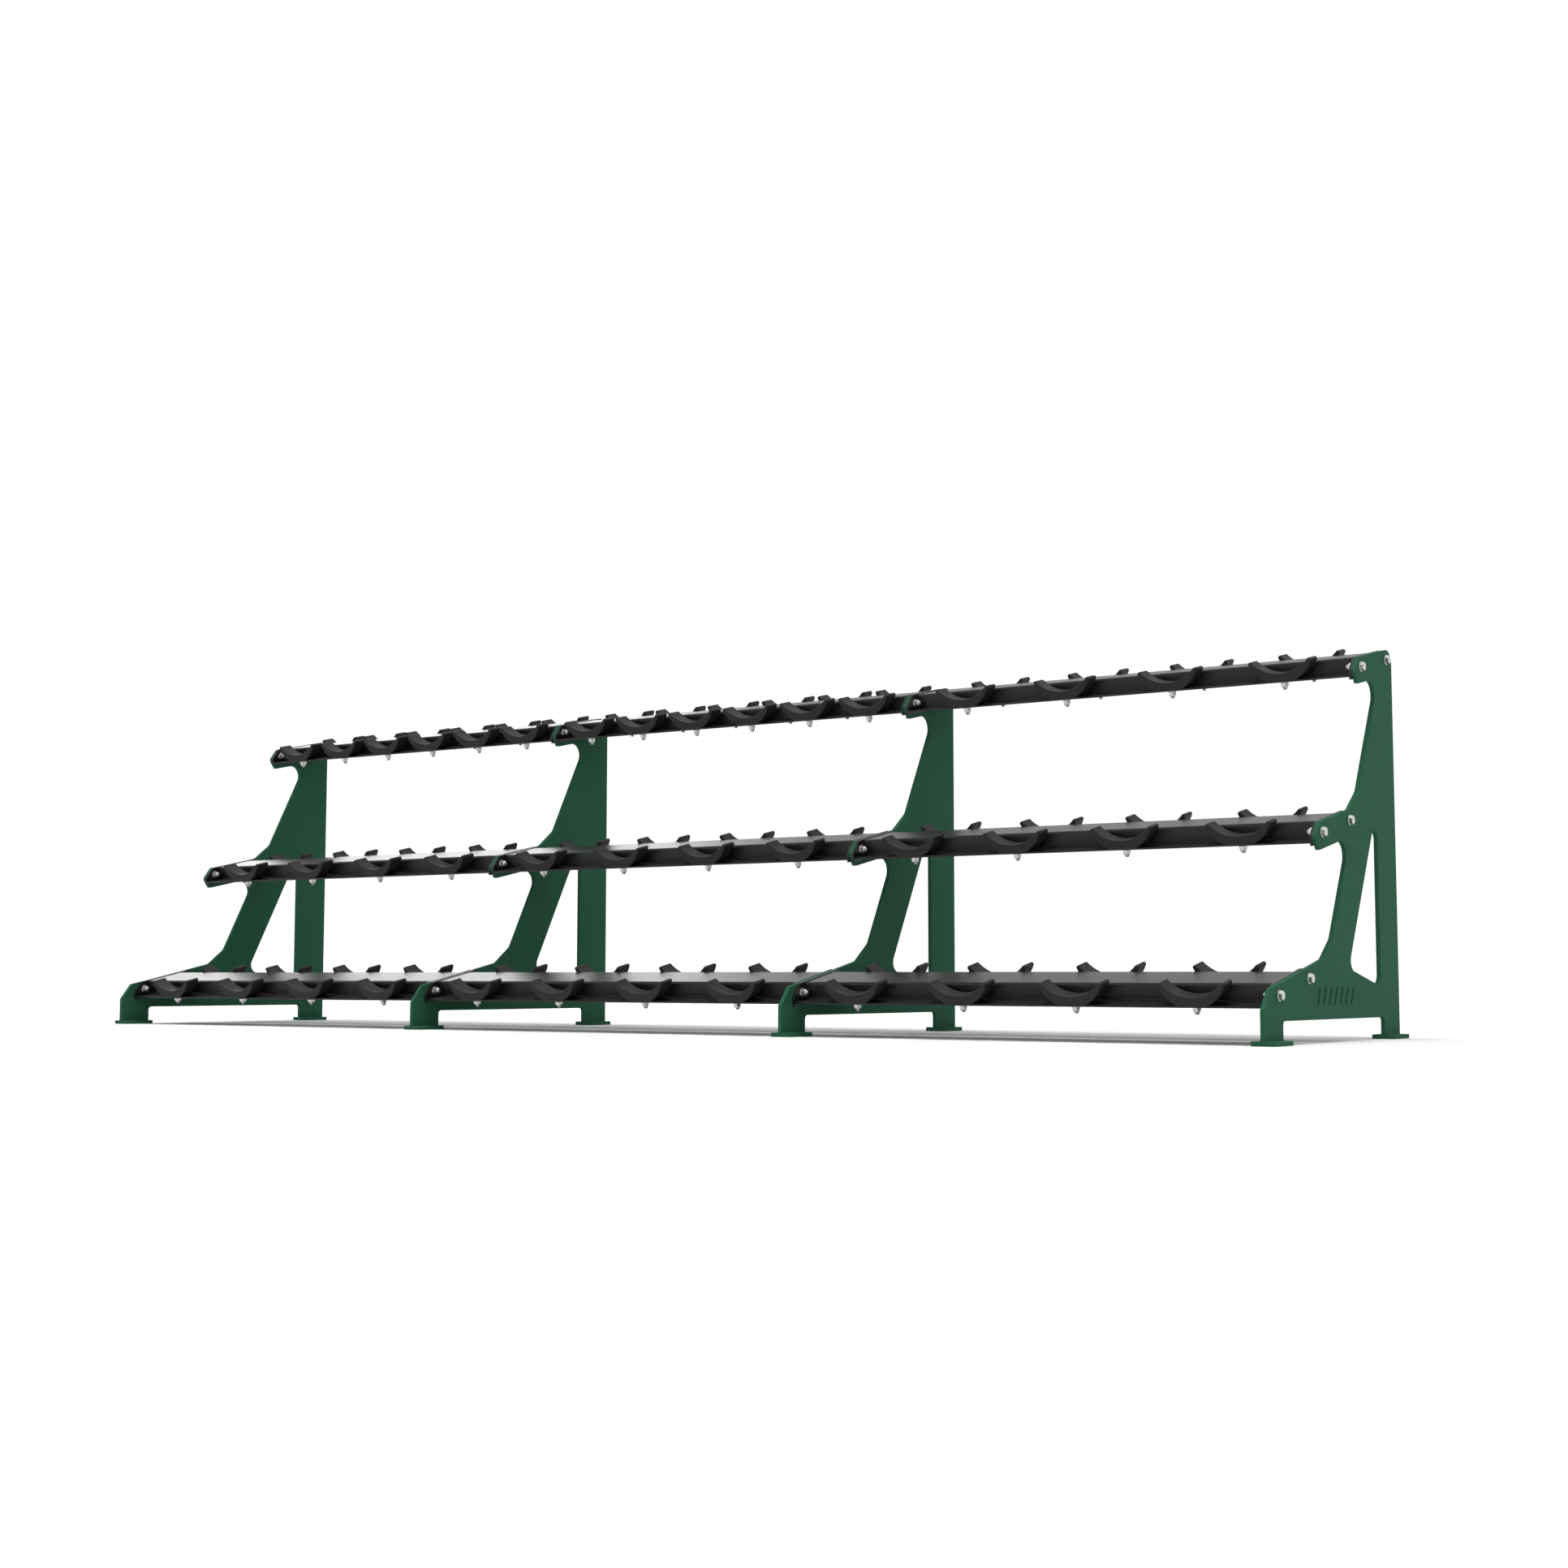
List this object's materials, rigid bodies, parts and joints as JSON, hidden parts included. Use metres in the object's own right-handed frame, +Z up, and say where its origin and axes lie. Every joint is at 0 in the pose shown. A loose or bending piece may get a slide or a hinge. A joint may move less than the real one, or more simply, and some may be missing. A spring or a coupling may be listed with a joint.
{
  "type": "dumbbell rack",
  "caption": "Long tiered dumbbell rack: plate uprights on small feet carry tilted folded shelves, with moulded saddles bolted along both ledges to cradle each dumbbell.",
  "frame": {"origin": "on the floor, at the middle of the footprint of the rack", "axes": "+X along the rack, to the right of a person who faces its front; +Y from the low front to the high back; +Z up"},
  "size_m": [3.655, 0.8, 0.9234],
  "materials": {
    "green_powder_coat": "muted dark green powder coat over steel plate, satin, with a fine grain",
    "black_powder_coat": "near-black fine-textured powder coat over folded steel sheet, satin",
    "moulded_black": "moulded black polyurethane with a matte skin",
    "zinc_plate": "bright zinc plating on steel fasteners"
  },
  "bodies": {
    "root": {"upright_1": "green_powder_coat", "upright_2": "green_powder_coat", "upright_3": "green_powder_coat", "upright_4": "green_powder_coat", "foot_plate_front_1": "green_powder_coat", "foot_plate_front_2": "green_powder_coat", "foot_plate_front_3": "green_powder_coat", "foot_plate_front_4": "green_powder_coat", "foot_plate_rear_1": "green_powder_coat", "foot_plate_rear_2": "green_powder_coat", "foot_plate_rear_3": "green_powder_coat", "foot_plate_rear_4": "green_powder_coat", "shelf_bottom_1": "black_powder_coat", "shelf_bottom_2": "black_powder_coat", "shelf_bottom_3": "black_powder_coat", "shelf_middle_1": "black_powder_coat", "shelf_middle_2": "black_powder_coat", "shelf_middle_3": "black_powder_coat", "shelf_top_1": "black_powder_coat", "shelf_top_2": "black_powder_coat", "shelf_top_3": "black_powder_coat", "end_plates_bottom_1": "black_powder_coat", "end_plates_bottom_2": "black_powder_coat", "end_plates_bottom_3": "black_powder_coat", "end_plates_middle_1": "black_powder_coat", "end_plates_middle_2": "black_powder_coat", "end_plates_middle_3": "black_powder_coat", "end_plates_top_1": "black_powder_coat", "end_plates_top_2": "black_powder_coat", "end_plates_top_3": "black_powder_coat", "saddles_bottom_front_1": "moulded_black", "saddles_bottom_front_2": "moulded_black", "saddles_bottom_front_3": "moulded_black", "saddles_bottom_rear_1": "moulded_black", "saddles_bottom_rear_2": "moulded_black", "saddles_bottom_rear_3": "moulded_black", "saddles_middle_front_1": "moulded_black", "saddles_middle_front_2": "moulded_black", "saddles_middle_front_3": "moulded_black", "saddles_middle_rear_1": "moulded_black", "saddles_middle_rear_2": "moulded_black", "saddles_middle_rear_3": "moulded_black", "saddles_top_front_1": "moulded_black", "saddles_top_front_2": "moulded_black", "saddles_top_front_3": "moulded_black", "saddles_top_rear_1": "moulded_black", "saddles_top_rear_2": "moulded_black", "saddles_top_rear_3": "moulded_black", "frame_bolts": "zinc_plate", "frame_washers": "zinc_plate", "frame_nuts": "zinc_plate", "saddle_studs": "zinc_plate", "saddle_washers": "zinc_plate", "saddle_nuts": "zinc_plate"}
  },
  "joints": []
}
